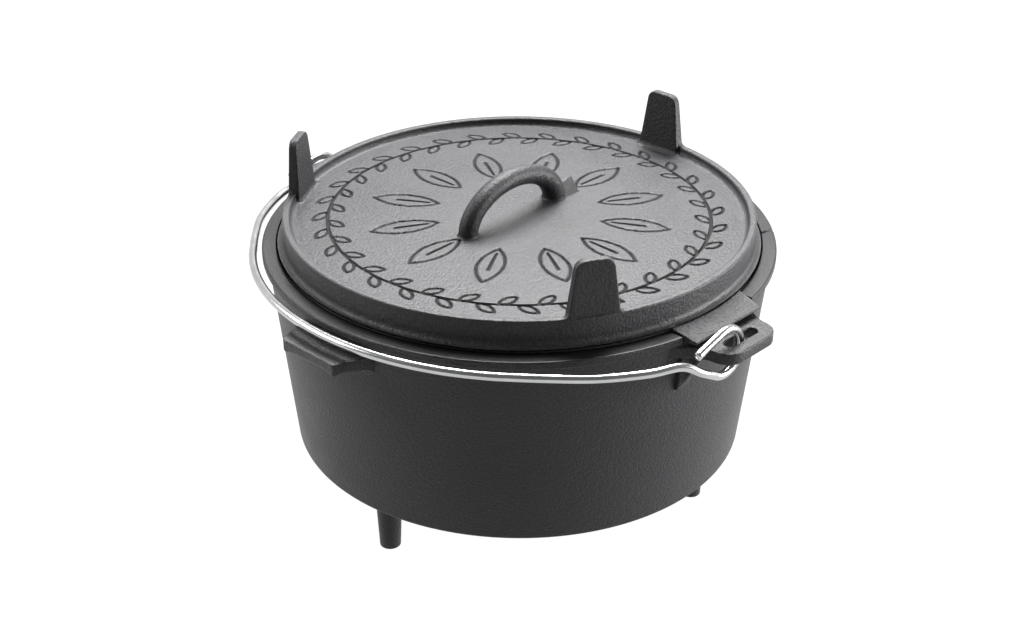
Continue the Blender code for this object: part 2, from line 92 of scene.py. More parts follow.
class Value:
    """A number that varies over a surface. Sums with it add Math nodes to its tree."""

    def __init__(self, tree, socket):
        self.tree, self.socket = tree, socket

    def maths(self, operation, *values):
        node = self.tree.nodes.new("ShaderNodeMath")
        node.operation = operation
        for slot, value in zip(node.inputs, values):
            if isinstance(value, Value):
                self.tree.links.new(value.socket, slot)
            else:
                slot.default_value = value
        return Value(self.tree, node.outputs[0])

    def __add__(self, other):
        return self.maths("ADD", self, other)

    def __radd__(self, other):
        return self.maths("ADD", other, self)

    def __sub__(self, other):
        return self.maths("SUBTRACT", self, other)

    def __rsub__(self, other):
        return self.maths("SUBTRACT", other, self)

    def __mul__(self, other):
        return self.maths("MULTIPLY", self, other)

    def __rmul__(self, other):
        return self.maths("MULTIPLY", other, self)

    def largest(self, other):
        return self.maths("MAXIMUM", self, other)


class Nodes:
    """The nodes of a material or of the world."""

    def __init__(self, owner):
        owner.use_nodes = True
        self.tree = owner.node_tree

    def add(self, kind, settings=None, sockets=None, output=0):
        """One node of that kind: its settings first, then its sockets' values or links. Gives one output."""
        node = self.tree.nodes.new("ShaderNode" + kind)
        for name, value in (settings or {}).items():
            setattr(node, name, value)
        for name, value in (sockets or {}).items():
            self.feed(node.inputs[name], value)
        return Value(self.tree, node.outputs[output]) if node.outputs else None

    def feed(self, socket, value):
        """Links a socket to a value that varies, or sets it to a plain one."""
        if isinstance(value, Value):
            self.tree.links.new(value.socket, socket)
        else:
            socket.default_value = value

    def mixed(self, share, first, second):
        """A colour on the way from the first to the second by a share from 0 to 1."""
        return self.add("Mix", {"data_type": "RGBA"}, {0: share, 6: (*first, 1), 7: (*second, 1)}, 2)


# The camera sees the room and the table as plain white. A reflection shows the table white too, and the room
# as bright as its side is. Of the room's light, only the share ROOM_FILL falls on the object.
room = bpy.data.worlds.new("room")
bpy.context.scene.world = room
nodes = Nodes(room)
nodes.tree.nodes.clear()
direction = nodes.add("TexCoord", output="Generated")
toward_camera = nodes.add("VectorMath", {"operation": "DOT_PRODUCT"},
                          {0: direction, 1: tuple(backward)}, "Value")
dark_side = nodes.add("MapRange", {"interpolation_type": "SMOOTHSTEP"},
                      {"Value": toward_camera, "From Min": DARK_FROM, "From Max": DARK_TO})
seen = nodes.add("LightPath", output="Is Camera Ray")
mirrored = nodes.add("LightPath", output="Is Glossy Ray")
strength = (1 - dark_side) * (1 - ROOM_DARK) + ROOM_DARK
strength = seen.largest(strength * (mirrored * (1 - ROOM_FILL) + ROOM_FILL))
glow = nodes.add("Background", sockets={"Color": (1, 1, 1, 1), "Strength": strength})
nodes.add("OutputWorld", sockets={"Surface": glow})

floor_mesh = bpy.data.meshes.new("floor")
floor_mesh.from_pydata([(x * FLOOR_REACH, y * FLOOR_REACH, -FLOOR_BELOW)
                        for x, y in ((-1, -1), (1, -1), (1, 1), (-1, 1))], [], [(0, 1, 2, 3)])
floor = bpy.data.objects.new("floor", floor_mesh)
bpy.context.scene.collection.objects.link(floor)
white_table = bpy.data.materials.new("white_table")
nodes = Nodes(white_table)
nodes.tree.nodes.clear()
lit = nodes.add("BsdfDiffuse", sockets={"Color": (FLOOR_LIT, FLOOR_LIT, FLOOR_LIT, 1)})
seen = nodes.add("LightPath", output="Is Camera Ray")
mirrored = nodes.add("LightPath", output="Is Glossy Ray")
own = nodes.add("Emission", sockets={"Color": (1, 1, 1, 1), "Strength": seen.largest(mirrored) * FLOOR_OWN})
nodes.add("OutputMaterial", sockets={"Surface": nodes.add("AddShader", sockets={0: lit, 1: own})})
floor_mesh.materials.append(white_table)

away = -backward * (1, 1, 0) / np.cos(ELEVATION)


def soft_lamp(name, behind, beside, height, aim, width, depth, power):
    """A rectangular lamp behind and beside the pot's axis, as the camera sees it, aimed at a height there."""
    place = away * behind + level * beside + (0, 0, height)
    out = place - (0, 0, aim)
    out = out / np.linalg.norm(out)
    side = np.cross((0, 0, 1), out)
    side = side / np.linalg.norm(side)
    lamp = bpy.data.lights.new(name, "AREA")
    lamp.shape = "RECTANGLE"
    lamp.size, lamp.size_y, lamp.energy = width, depth, power
    stand = bpy.data.objects.new(name, lamp)
    stand.matrix_world = stand_at((side, np.cross(out, side), out), place)
    bpy.context.scene.collection.objects.link(stand)


soft_lamp("rear", behind=0.523, beside=0.1, height=1.1, aim=0.15, width=0.75, depth=0.6, power=50)
soft_lamp("left_side", behind=0, beside=-1.2, height=0.8, aim=0.1, width=0.8, depth=0.6, power=13)
soft_lamp("right_side", behind=0, beside=1.3, height=0.3, aim=0.1, width=0.8, depth=0.6, power=32)


# The pot's own casting: wall, base and rim in one, poured in sand and dressed only on the rim's flat top.
# Its rim has a lip outside, a notch at each ear that keys the lid, and a shallow groove for a probe's lead.
UNDERSIDE = 0.0448
RIM_TOP = 0.1693
RIM_RADIUS = 0.1528
SEAT_RADIUS = 0.1400
LIP_BOTTOM = 0.1650
LIP_STEP = 0.0030
STEP_DROP = 0.0015
WALL = 0.0048
WALL_DRAFT = np.radians(5.8)
FLOOR_TOP = UNDERSIDE + 0.0055
THICK_FROM, THICK_AT = 0.1530, 0.1610
FLOOR_CORNER, THICK_CORNER, SEAT_CORNER = 0.0120, 0.0060, 0.0030
RIM_EDGE_IN, RIM_EDGE_OUT, LIP_EDGE = 0.0006, 0.0010, 0.0009
STEP_CORNER, BASE_CORNER = 0.0012, 0.0018
NOTCH_HALF = 0.0310
NOTCH_FLOOR = RIM_TOP - 0.0053
NOTCH_RADIUS = 0.1507
NOTCH_BLEND = np.radians(6)
GROOVE_HALF, GROOVE_DEPTH, GROOVE_EDGE = 0.0010, 0.0020, 0.0003
GROOVE_ANGLE, GROOVE_TURN = np.radians((44.5, 74))
SEAT_MARGIN, TOP_MARGIN, FINE_MARGIN = 0.0005, 0.0003, 0.0010
MERGE_DISTANCE = 1e-6
CREASE = np.radians(48)
PATCHES_PER_METRE = 26


def rounded_line(corners, steps=7, lead=0.3):
    """A line through corners (x, y, radius), each rounded by an arc that touches both of its sides. An arc's
    centre lies on the corner's bisector; a point a little before and after each arc keeps flats flat."""
    corners = np.asarray(corners, float)
    here, size = corners[1:-1, :2], corners[1:-1, 2:]
    before, after = corners[:-2, :2] - here, corners[2:, :2] - here
    before = before / np.linalg.norm(before, axis=1, keepdims=True)
    after = after / np.linalg.norm(after, axis=1, keepdims=True)
    half = np.arccos(np.clip((before * after).sum(1, keepdims=True), -1, 1)) / 2
    middle = before + after
    centre = here + middle / np.linalg.norm(middle, axis=1, keepdims=True) * size / np.sin(half)
    first, last = here + before * size / np.tan(half), here + after * size / np.tan(half)
    turn = (np.pi - 2 * half)[:, None]
    share = np.linspace(0, 1, steps)[None, :, None]
    arcs = centre[:, None] + (np.sin((1 - share) * turn) * (first - centre)[:, None]
                              + np.sin(share * turn) * (last - centre)[:, None]) / np.sin(turn)
    lead_in, lead_out = first + before * size * lead, last + after * size * lead
    arcs = np.concatenate([lead_in[:, None], arcs, lead_out[:, None]], 1)
    return np.concatenate([corners[:1, :2], arcs.reshape(-1, 2), corners[-1:, :2]])


def evened(line, step, fine_step=None, fine=None):
    """The same line with more points, so that none are further apart than step, or than fine_step where
    fine holds."""
    along = np.concatenate([[0], np.cumsum(np.linalg.norm(np.diff(line, axis=0), axis=1))])
    places = [along, np.arange(0, along[-1], step)]
    if fine_step:
        inside = along[fine]
        places.append(np.arange(inside.min(), inside.max(), fine_step))
    places = np.unique(np.round(np.concatenate(places), 5))
    places[-1] = along[-1]
    return np.stack([np.interp(places, along, line[:, axis]) for axis in range(line.shape[1])], 1)


def turned(points, degrees):
    """The points turned about the pot's axis."""
    angle = np.radians(degrees)
    x, y, z = np.moveaxis(points, -1, 0)
    return np.stack([x * np.cos(angle) - y * np.sin(angle), x * np.sin(angle) + y * np.cos(angle), z], -1)


def skin(name, points, wrap=False, marks=None):
    """A closed mesh on a grid of points: each row is a closed ring, and the rows end in a point or join up.
    Marks are attributes, with one value for each point."""
    rows, columns = points.shape[:2]
    row = np.arange(rows if wrap else rows - 1)[:, None]
    column = np.arange(columns)[None, :]
    below, beside = (row + 1) % rows, (column + 1) % columns
    faces = np.stack([row * columns + column, row * columns + beside, below * columns + beside,
                      below * columns + column], -1).reshape(-1, 4)
    mesh = bpy.data.meshes.new(name)
    mesh.from_pydata(points.reshape(-1, 3).tolist(), [], faces.tolist())
    for mark, values in (marks or {}).items():
        values = values.astype(np.float32).ravel()
        mesh.attributes.new(mark, "FLOAT", "POINT").data.foreach_set("value", values)
    shape = bmesh.new()
    shape.from_mesh(mesh)
    bmesh.ops.remove_doubles(shape, verts=shape.verts, dist=MERGE_DISTANCE)
    if shape.calc_volume(signed=True) < 0:
        bmesh.ops.reverse_faces(shape, faces=shape.faces)
    shape.to_mesh(mesh)
    shape.free()
    mesh.shade_smooth()
    mesh.set_sharp_from_angle(angle=CREASE)
    return mesh


def add_piece(mesh, body, finish):
    """The mesh as a piece of the object, which stands for the CAD node of its body."""
    piece = bpy.data.objects.new(mesh.name, mesh)
    bpy.context.scene.collection.objects.link(piece)
    mesh.materials.append(finish)
    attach(piece, body)
    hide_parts(body)


def cast_iron(name, dark, light, roughness, grain_depth, grain_size):
    """Seasoned cast iron: sand-cast pebbles, a finer tooth on them, and patches where the oil took more or
    less. It is duller in sunk lines and smoother where the iron is dressed; both are darker by painted shade."""
    material = bpy.data.materials.new(name)
    nodes = Nodes(material)
    surface = nodes.tree.nodes["Principled BSDF"]
    place = nodes.add("TexCoord", output="Object")
    patches = nodes.add("TexNoise", None,
                        {"Vector": place, "Scale": PATCHES_PER_METRE, "Detail": 4, "Roughness": 0.6})
    grain = nodes.add("TexNoise", None,
                      {"Vector": place, "Scale": 1 / grain_size, "Detail": 3, "Roughness": 0.65})
    pebbles = nodes.add("TexVoronoi", {"feature": "SMOOTH_F1"},
                        {"Vector": place, "Scale": 0.6 / grain_size, "Smoothness": 0.6})
    sunk_and_shaded = nodes.add("Attribute", {"attribute_name": "sunk_and_shaded"}, output="Fac")
    dressed_and_shaded = nodes.add("Attribute", {"attribute_name": "dressed_and_shaded"}, output="Fac")
    # Painted shade: the tone drops by 90 % in the sunk lines and on the dressed rim top, where shade falls.
    tone = (patches * 0.5 + (grain - 0.5) * 2 + 0.2) * (1 - sunk_and_shaded * 0.9) * (1 - dressed_and_shaded * 0.9)
    nodes.feed(surface.inputs["Base Color"], nodes.mixed(tone, dark, light))
    shine = roughness + (patches - 0.5) * 0.22 + (grain - 0.5) * 0.16
    nodes.feed(surface.inputs["Roughness"], shine + sunk_and_shaded * 0.5 - dressed_and_shaded * 0.06)
    surface.inputs["Specular IOR Level"].default_value = 0.3
    height = (grain * 0.7 - pebbles * 0.5) * (1 - dressed_and_shaded * 0.7)
    bump = nodes.add("Bump", None, {"Strength": 1.0, "Distance": grain_depth, "Height": height})
    nodes.feed(surface.inputs["Normal"], bump)
    return material


def wall_radius(height):
    """Outer radius of the wall at a height: the lip's foot less the draft."""
    return RIM_RADIUS - LIP_STEP - np.tan(WALL_DRAFT) * (LIP_BOTTOM - height)


def wall_line():
    """Half of the pot's section: from the middle of the floor over the rim to the middle of the underside."""
    line = rounded_line([
        (0, FLOOR_TOP, 0),
        (wall_radius(FLOOR_TOP) - WALL, FLOOR_TOP, FLOOR_CORNER),
        (wall_radius(THICK_FROM) - WALL, THICK_FROM, THICK_CORNER),
        (SEAT_RADIUS, THICK_AT, SEAT_CORNER),
        (SEAT_RADIUS, RIM_TOP, RIM_EDGE_IN),
        (RIM_RADIUS, RIM_TOP, RIM_EDGE_OUT),
        (RIM_RADIUS, LIP_BOTTOM, LIP_EDGE),
        (wall_radius(LIP_BOTTOM - STEP_DROP), LIP_BOTTOM - STEP_DROP, STEP_CORNER),
        (wall_radius(UNDERSIDE), UNDERSIDE, BASE_CORNER),
        (0, UNDERSIDE, 0),
    ])
    return evened(line, step=0.005, fine_step=0.0008, fine=line[:, 1] > LIP_BOTTOM + FINE_MARGIN)


def wall_points():
    """The section turned about Z, and where its top is dressed, which also marks it for painted shade. Within
    a notch's angle the rim is lowered to the notch's floor and drawn in. Lines near a notch's side slant, so
    that the side is straight. The groove is a straight strip across the rim: its depth falls to 0 over its
    edge."""
    rim_middle = (SEAT_RADIUS + RIM_RADIUS) / 2
    notch_turn = np.arcsin(NOTCH_HALF / rim_middle)
    notch_sides = np.array([-notch_turn, notch_turn, np.pi - notch_turn, np.pi + notch_turn])
    angles = np.unique(np.round(np.concatenate([
        np.radians(np.arange(-30, 330, 1.25)),
        np.radians(np.arange(41, 48, 0.15)),
        (notch_sides[:, None] + np.radians((-0.3, -0.04, 0.04, 0.3))).ravel(),
    ]), 6))
    from_ear = (angles + np.pi / 2) % np.pi - np.pi / 2
    slant = np.exp(-((np.abs(from_ear) - notch_turn) / NOTCH_BLEND) ** 2) * np.sign(from_ear)
    line = wall_line()
    radius, height = line[:, :1] + 0 * angles, line[:, 1:] + 0 * angles
    past_seat = radius > SEAT_RADIUS - SEAT_MARGIN
    in_notch = past_seat & (np.abs(from_ear) < notch_turn) & (height > NOTCH_FLOOR)
    radius = np.where(in_notch, np.minimum(radius, NOTCH_RADIUS), radius)
    height = np.where(in_notch, NOTCH_FLOOR, height)
    side_turn = np.arcsin(NOTCH_HALF / np.clip(radius, SEAT_RADIUS, None))
    drawn_angles = angles + slant * (side_turn - notch_turn)
    x, y = radius * np.cos(drawn_angles), radius * np.sin(drawn_angles)
    off_groove = np.abs((x - rim_middle * np.cos(GROOVE_ANGLE)) * np.sin(GROOVE_TURN)
                        - (y - rim_middle * np.sin(GROOVE_ANGLE)) * np.cos(GROOVE_TURN))
    cut = np.clip((GROOVE_HALF + GROOVE_EDGE - off_groove) / GROOVE_EDGE, 0, 1)
    cut = cut * past_seat * (x > 0) * (y > 0)
    height = np.minimum(height, RIM_TOP - GROOVE_DEPTH * cut + (cut == 0))
    return np.stack([x, y, height], 2), past_seat & (height > RIM_TOP - TOP_MARGIN)


pot_iron = cast_iron("pot_iron", dark=(0.007, 0.006, 0.007), light=(0.040, 0.038, 0.042),
                     roughness=0.44, grain_depth=0.00050, grain_size=0.0010)
# The dressed rim top is marked for painted shade: its tone is darkened all round, as in the lid's shadow.
pot_wall, dressed_and_shaded_top = wall_points()
add_piece(skin("pot_wall", pot_wall, marks={"dressed_and_shaded": dressed_and_shaded_top}), "pot", pot_iron)


# Two ears cast on the wall below the rim, each with a long slot for the bail's hook and two ribs underneath.
# Their edges are rounded by the mould and their roots run into the wall in fillets.
EAR_TOP, EAR_THICK = 0.1633, 0.0070
EAR_END = 0.1760
EAR_HALF = 0.0228
EAR_CORNER, EAR_ROUNDING = 0.0107, 0.0009
EAR_FLARE, FLARE_PULL = 0.0172, 0.4
EAR_BURIED = 0.0020
SLOT_X = 0.1653
SLOT_HALF_WIDTH, SLOT_HALF_LENGTH = 0.0034, 0.0130
TIP_POINTS, SIDE_POINTS = 26, 44
ROOT_FILLET = 0.0030
RIB_HALF, RIB_OFFSET, RIB_EDGE = 0.0023, 0.0233, 0.0012
RIB_REACH, RIB_DEPTH, RIB_UPRIGHT = 0.0075, 0.0210, 0.0023
RIB_BURIED, RIB_TAIL = 0.0035, 0.0020


def fillet(height, radius):
    """How far a fillet stands out at a height above the face that it runs into: all of it at that face, along
    a quarter circle. A rounded edge draws in by the same amount at that distance from its end."""
    left = np.clip(radius - height, 0, radius)
    return radius - np.sqrt(radius ** 2 - left ** 2)


def spaced(line, count):
    """A number of points at equal distances along a line, its start included and its end left out."""
    along = np.concatenate([[0], np.cumsum(np.linalg.norm(np.diff(line, axis=0), axis=1))])
    places = np.linspace(0, along[-1], count, endpoint=False)
    return np.stack([np.interp(places, along, line[:, axis]) for axis in range(2)], 1)


def circle_part(centre, radius, start, end, steps):
    """Points on an arc, with its angles in degrees."""
    angle = np.radians(np.linspace(start, end, steps))
    return np.stack([centre[0] + radius * np.cos(angle), centre[1] + radius * np.sin(angle)], 1)


def both_sides(half):
    """A closed outline from its half with y above 0, which starts and ends on y = 0."""
    return np.concatenate([half, (half * (1, -1))[:0:-1]])


def outward(outline):
    """The unit normals of a closed outline that runs anticlockwise."""
    along = np.roll(outline, -1, 0) - np.roll(outline, 1, 0)
    normal = np.stack([along[:, 1], -along[:, 0]], 1)
    return normal / np.linalg.norm(normal, axis=1, keepdims=True)


def capped(rings):
    """The rings and a point at each end, which is the middle of the first and of the last ring."""
    middle = rings.mean(1, keepdims=True)
    return np.concatenate([middle[:1] + 0 * rings[:1], rings, middle[-1:] + 0 * rings[:1]])


def ear_points():
    """A plate between its outline and its slot. Each row runs round the slot, and the rows go up over its
    rounded edge, out across the top, down over the outer edge and back in below. The outline's sides swing
    out to the wall along a quadratic curve, and near the wall fillets thicken the plate."""
    top, low = EAR_TOP, EAR_TOP - EAR_THICK
    hold = wall_radius(low) - EAR_BURIED
    flare_y = EAR_HALF + EAR_FLARE
    flare_x = np.sqrt(hold ** 2 - flare_y ** 2)
    corner_x = EAR_END - EAR_CORNER
    pull_x = corner_x - FLARE_PULL * (corner_x - flare_x)
    tip = circle_part((corner_x, EAR_HALF - EAR_CORNER), EAR_CORNER, 0, 90, 14)
    tip = np.concatenate([[(EAR_END, 0)], tip])
    share = np.linspace(0, 1, 20)[:, None]
    side = ((1 - share) ** 2 * (corner_x, EAR_HALF) + 2 * share * (1 - share) * (pull_x, EAR_HALF)
            + share ** 2 * (flare_x, flare_y))
    back = circle_part((0, 0), hold, np.degrees(np.arcsin(flare_y / hold)), 0, 12)
    side = np.concatenate([side, back[1:]])
    outline = both_sides(np.concatenate([spaced(tip, TIP_POINTS), spaced(side, SIDE_POINTS), [(hold, 0)]]))

    straight = SLOT_HALF_LENGTH - SLOT_HALF_WIDTH
    near_end, far_end = (SLOT_X + SLOT_HALF_WIDTH, 0), (SLOT_X - SLOT_HALF_WIDTH, 0)
    near = circle_part((SLOT_X, straight), SLOT_HALF_WIDTH, 0, 90, 9)
    far = circle_part((SLOT_X, straight), SLOT_HALF_WIDTH, 90, 180, 9)
    near, far = np.concatenate([[near_end], near]), np.concatenate([far, [far_end]])
    slot = both_sides(np.concatenate([spaced(near, TIP_POINTS), spaced(far, SIDE_POINTS), [far_end]]))

    turn = np.linspace(0, np.pi / 2, 6)
    inset = EAR_ROUNDING * (1 - np.cos(turn))[:, None, None]
    slot_rows, edge_rows = slot + outward(slot) * inset, outline - outward(outline) * inset
    across = np.linspace(0, 1, 9)[1:-1, None, None]
    face = slot_rows[-1] * (1 - across) + edge_rows[-1] * across
    flat = np.concatenate([slot_rows, face, edge_rows[::-1], edge_rows, face[::-1], slot_rows[::-1]])
    rounding = top - EAR_ROUNDING + EAR_ROUNDING * np.sin(turn)
    upper = np.concatenate([rounding, np.full(len(face), top), rounding[::-1]])
    height = np.concatenate([upper, top + low - upper])[:, None] + 0 * flat[..., 0]
    out = np.hypot(flat[..., 0], flat[..., 1]) - wall_radius(height)
    height = height + np.sign(height - (top + low) / 2) * fillet(out, ROOT_FILLET)
    return np.concatenate([flat, height[..., None]], 2)


def rounded_frame(side_steps, corner_steps):
    """The way round a rounded rectangle: for each point its corner (-1 to 1 each way) and its outward
    direction. A point is corner * (half size - radius) + direction * radius."""
    side = np.linspace(-1, 1, side_steps)
    bend = np.linspace(0, np.pi / 2, corner_steps)[1:-1]
    corner = np.concatenate([np.stack([np.ones(side_steps), side], 1), np.ones((len(bend), 2))])
    direction = np.concatenate([np.tile((1.0, 0.0), (side_steps, 1)),
                                np.stack([np.cos(bend), np.sin(bend)], 1)])
    quarter = np.array(((0, 1), (-1, 0)))
    turns = [np.linalg.matrix_power(quarter, k) for k in range(4)]
    return np.concatenate([corner @ t for t in turns]), np.concatenate([direction @ t for t in turns])


def rib_points(side):
    """Level sections of a rounded rib, from inside the ear down to where it runs out into the wall."""
    corner, direction = rounded_frame(6, 6)
    top, low = EAR_TOP - EAR_THICK / 2, EAR_TOP - EAR_THICK - RIB_DEPTH
    slope_top = EAR_TOP - EAR_THICK - RIB_UPRIGHT
    height = np.linspace(top, low - RIB_TAIL, 60)[:, None]
    wall = wall_radius(height)
    share = np.clip((height - low) / (slope_top - low), None, 1)
    reach = (wall_radius(top) + RIB_REACH - wall_radius(low)) * share + wall_radius(low) - wall
    half = (reach + RIB_BURIED) / 2
    x = wall + reach - half + corner[:, 0] * np.clip(half - RIB_EDGE, 0, None) + direction[:, 0] * RIB_EDGE
    spread = np.sign(corner[:, 1]) * fillet(x - wall, ROOT_FILLET)
    y = side * RIB_OFFSET + corner[:, 1] * (RIB_HALF - RIB_EDGE) + direction[:, 1] * RIB_EDGE + spread
    return capped(np.stack([x, y, height + 0 * x], 2))


for end, degrees in (("right", 0), ("left", 180)):
    add_piece(skin("pot_ear_" + end, turned(ear_points(), degrees), wrap=True), "pot", pot_iron)
    for side_name, side in (("front", -1), ("back", 1)):
        name = "pot_rib_" + end + "_" + side_name
        add_piece(skin(name, turned(rib_points(side), degrees)), "pot", pot_iron)


# A tapered lug at each end of Y, cast on the wall for a cloth or a lifting hook. Its top is flat.
# Its lower edge is rounded, arches up along both sides and ends in a deeper nose at each outer corner.
LUG_END, LUG_CENTRE = 0.1670, 0.1570
LUG_ROOT_HALF, LUG_TIP_HALF = 0.0305, 0.0210
LUG_TOP = 0.1570
LUG_CORNER = 0.0028
LUG_DEPTH, LUG_ARCH = 0.0066, 7
NOSE_DEPTH, NOSE_LENGTH = 0.0024, 0.0022
LUG_EDGE, LUG_LOWER_EDGE, LUG_FILLET = 0.0006, 0.0022, 0.0030
LUG_BURIED = 0.0040


def lug_points():
    """Rings from the middle of the top out over the edge, down the sides and in to the underside's middle.
    The depth grows with the square of the distance from the lug's end, and by the nose at its corners."""
    hold = wall_radius(LUG_TOP) - LUG_BURIED
    root_x = np.sqrt(hold ** 2 - LUG_ROOT_HALF ** 2)
    half = rounded_line([(LUG_END, 0, 0), (LUG_END, LUG_TIP_HALF, LUG_CORNER), (root_x, LUG_ROOT_HALF, 0)], 9)
    back = circle_part((0, 0), hold, np.degrees(np.arcsin(LUG_ROOT_HALF / hold)), 0, 12)
    outline = both_sides(np.concatenate([evened(half, step=0.0012), back[1:]]))
    normal = outward(outline)
    centre = np.array((LUG_CENTRE, 0))
    inward = LUG_END - outline[:, 0]
    cornerward = np.clip(np.abs(outline[:, 1]) / LUG_TIP_HALF, 0, 1)
    depth = LUG_DEPTH + LUG_ARCH * inward ** 2 + NOSE_DEPTH * np.exp(-inward / NOSE_LENGTH) * cornerward ** 4
    turn = np.linspace(0, np.pi / 2, 6)[:, None]
    face = np.array((0, 0.3, 0.6, 0.85, 0.97))[:, None, None]
    inner = outline - normal * LUG_EDGE
    under = outline - normal * LUG_LOWER_EDGE
    flat = np.concatenate([
        centre + (inner - centre) * face,
        outline - normal * (LUG_EDGE * (1 - np.sin(turn)))[..., None],
        outline - normal * (LUG_LOWER_EDGE * (1 - np.cos(turn)))[..., None],
        (centre + (under - centre) * face)[::-1]])
    height = np.concatenate([
        np.full((len(face), len(outline)), LUG_TOP),
        LUG_TOP - LUG_EDGE * (1 - np.cos(turn)) + 0 * inward,
        LUG_TOP - depth + LUG_LOWER_EDGE * (1 - np.sin(turn)),
        LUG_TOP - LUG_DEPTH - (depth - LUG_DEPTH) * face[::-1, :, 0] ** 2])
    out = np.hypot(flat[..., 0], flat[..., 1]) - wall_radius(height)
    height = height - (height < LUG_TOP - LUG_FILLET) * fillet(out, LUG_FILLET)
    return np.concatenate([flat, height[..., None]], 2)


# The lugs' iron is a far lighter copy of the pot's iron: painted light that brightens the lugs' tops.
lit_lug_iron = cast_iron("lit_lug_iron", dark=(0.030, 0.030, 0.030), light=(0.130, 0.128, 0.130),
                     roughness=0.46, grain_depth=0.00060, grain_size=0.0011)
for name, degrees in (("pot_lug_front", -90), ("pot_lug_back", 90)):
    add_piece(skin(name, turned(lug_points(), degrees)), "pot", lit_lug_iron)


# Three round tapered feet, which hold the base above the embers. They are cast on it in one with the pot,
# each with a fillet at its root and a flat tip.
FOOT_CIRCLE = 0.1120
FOOT_TOP_RADIUS, FOOT_TIP_RADIUS = 0.0084, 0.0063
FOOT_EDGE, FOOT_FILLET = 0.0008, 0.0030
FOOT_HEAD, HEAD_CORNER = UNDERSIDE + 0.0020, 0.0002


def lathe(line, angles):
    """A line of (radius, height) turned about Z: one ring of points for each of its points."""
    radius, height = line[:, :1], line[:, 1:]
    return np.stack([radius * np.cos(angles), radius * np.sin(angles), height + 0 * angles], 2)


def foot_points():
    """A tapered round bar from its tip to its hidden head, with a fillet below the base."""
    line = rounded_line([
        (0, 0, 0),
        (FOOT_TIP_RADIUS, 0, FOOT_EDGE),
        (FOOT_TOP_RADIUS, UNDERSIDE, HEAD_CORNER),
        (FOOT_TOP_RADIUS, FOOT_HEAD, HEAD_CORNER),
        (0, FOOT_HEAD, 0),
    ])
    near_root = np.abs(line[:, 1] - UNDERSIDE) < FOOT_FILLET + FINE_MARGIN
    line = evened(line, step=0.003, fine_step=0.0004, fine=near_root)
    line[:, 0] += fillet(UNDERSIDE - line[:, 1], FOOT_FILLET) * (line[:, 0] > FOOT_TIP_RADIUS)
    return lathe(line, np.linspace(0, 2 * np.pi, 48, endpoint=False)) + (FOOT_CIRCLE, 0, 0)


for number, degrees in enumerate((-90, 30, 150), 1):
    add_piece(skin("pot_foot_%d" % number, turned(foot_points(), degrees)), "pot", pot_iron)


# The lid's casting: a slightly crowned plate in an upright ring, a skirt with a thin flange that lies on the
# rim, and a rib inside it that keeps the lid in place. The plate's ornament is sunk into it.
PAN, PAN_CROWN, PAN_EDGE = 0.1818, 0.0015, 0.1304
PLATE = 0.0050
RING_TOP, RING_OUT, RING_IN = 0.1869, 0.1400, 0.1355
RING_EDGE_OUT, RING_EDGE_IN, RING_COVE, PAN_CORNER = 0.0011, 0.0013, 0.0030, 0.00005
SEAT = 0.1696
FLANGE_RADIUS, FLANGE_TOP = 0.1437, 0.1713
SKIRT_COVE, FLANGE_EDGE_TOP, FLANGE_EDGE_LOW, SEAT_CORNER_OUT = 0.0034, 0.0005, 0.0003, 0.0002
LOCATOR_OUT, LOCATOR_IN, LOCATOR_LOW = 0.1392, 0.1345, 0.1641
LOCATOR_EDGE, LOCATOR_COVE = 0.0006, 0.0022
PLATE_SPLIT = 0.0970
SUNK_DEPTH, SUNK_HALF, SUNK_SLOPE = 0.00130, 0.00055, 0.00045
WREATH_RADIUS, WREATH_COUNT = 0.1135, 32
LEAF_LENGTH, LEAF_WIDTH, LEAF_TILT = 0.0125, 0.0058, np.radians(38)
LEAF_START = (-0.0035, 0.0008)
PETAL_COUNT, PETAL_MIDDLE, PETAL_LENGTH, PETAL_WIDTH = 12, 0.0700, 0.0400, 0.0150
VEIN_START, VEIN_END = 0.006, 0.014


def leaf(along, across, length, width):
    """Distance to the edge of a pointed leaf, which is where two equal circles overlap; below 0 inside."""
    radius = (length ** 2 + width ** 2) / (4 * width)
    return np.hypot(along, np.abs(across) + radius - width / 2) - radius


def stroke(along, across, start, end):
    """Distance to a straight stroke on the line across = 0."""
    return np.hypot(along - np.clip(along, start, end), across)


def sunk_lines(x, y):
    """How deep the ornament lies, 0 to 1: a wreath of outlined leaves on a thin stem, and a ring of long
    petals, each with a vein. The leaves stand in turn inside and outside the stem."""
    radius, angle = np.hypot(x, y), np.arctan2(y, x)
    pitch = 2 * np.pi / WREATH_COUNT
    lines = [np.abs(radius - WREATH_RADIUS)]
    for side in (-1, 1):
        here = (angle + (0.25 + 0.25 * side) * pitch) % pitch - pitch / 2
        run = here * WREATH_RADIUS - LEAF_START[0]
        out = (radius - WREATH_RADIUS) * side - LEAF_START[1]
        along = run * np.cos(LEAF_TILT) + out * np.sin(LEAF_TILT)
        across = out * np.cos(LEAF_TILT) - run * np.sin(LEAF_TILT)
        lines.append(np.abs(leaf(along - LEAF_LENGTH / 2, across, LEAF_LENGTH, LEAF_WIDTH)))
    pitch = 2 * np.pi / PETAL_COUNT
    here = (angle + pitch / 2) % pitch - pitch / 2
    along, across = radius * np.cos(here) - PETAL_MIDDLE, radius * np.sin(here)
    lines.append(np.abs(leaf(along, across, PETAL_LENGTH, PETAL_WIDTH)))
    lines.append(stroke(along, across, -PETAL_LENGTH / 2 + VEIN_START, PETAL_LENGTH / 2 - VEIN_END))
    near = np.min(lines, axis=0)
    share = np.clip((SUNK_HALF + SUNK_SLOPE - near) / SUNK_SLOPE, 0, 1)
    return share * share * (3 - 2 * share)


def plate_top(radius):
    """Height of the plate's plain top: a shallow crown that falls with the square of the radius."""
    return PAN + PAN_CROWN * (1 - np.clip(radius / PAN_EDGE, 0, 1) ** 2)


